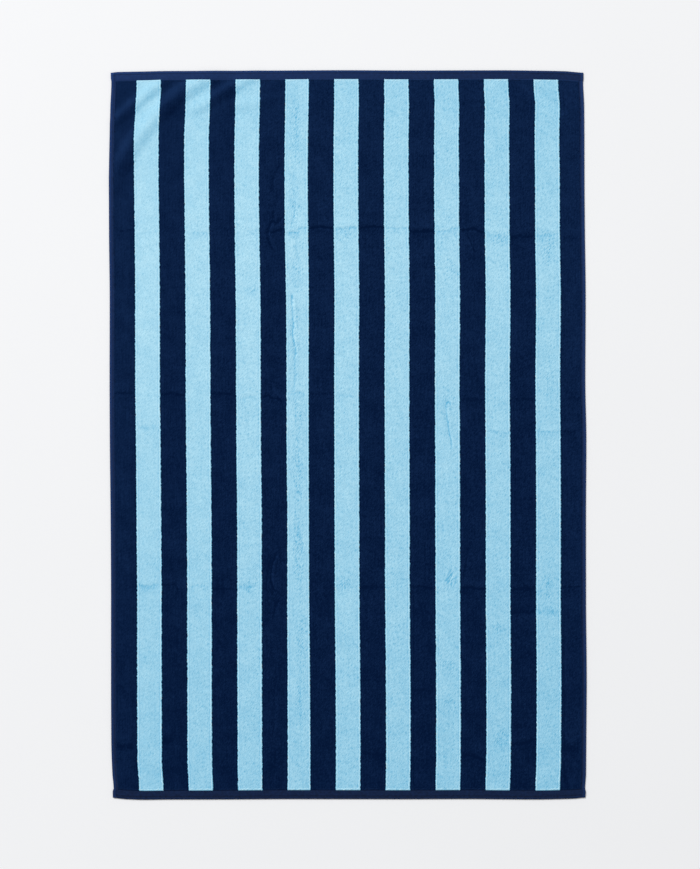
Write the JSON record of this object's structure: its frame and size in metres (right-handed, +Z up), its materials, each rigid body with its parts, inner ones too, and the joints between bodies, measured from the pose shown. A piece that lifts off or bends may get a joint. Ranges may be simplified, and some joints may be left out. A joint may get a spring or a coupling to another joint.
{
  "type": "beach towel",
  "caption": "Large rectangular velour beach towel with lengthwise navy and light blue stripes and flat-woven hems, spread out flat to lie or dry on.",
  "frame": {"origin": "on the surface that the towel lies on, under the middle of the towel", "axes": "+X across the towel, over the stripes; +Y along the stripes, towards the top end; +Z up, out of the sheared side"},
  "size_m": [1.0046, 1.5356, 0.007],
  "materials": {
    "towel_cloth": "sheared cotton velour, matt, in lengthwise navy and light blue stripes"
  },
  "bodies": {
    "root": {"towel": "towel_cloth"}
  },
  "joints": []
}
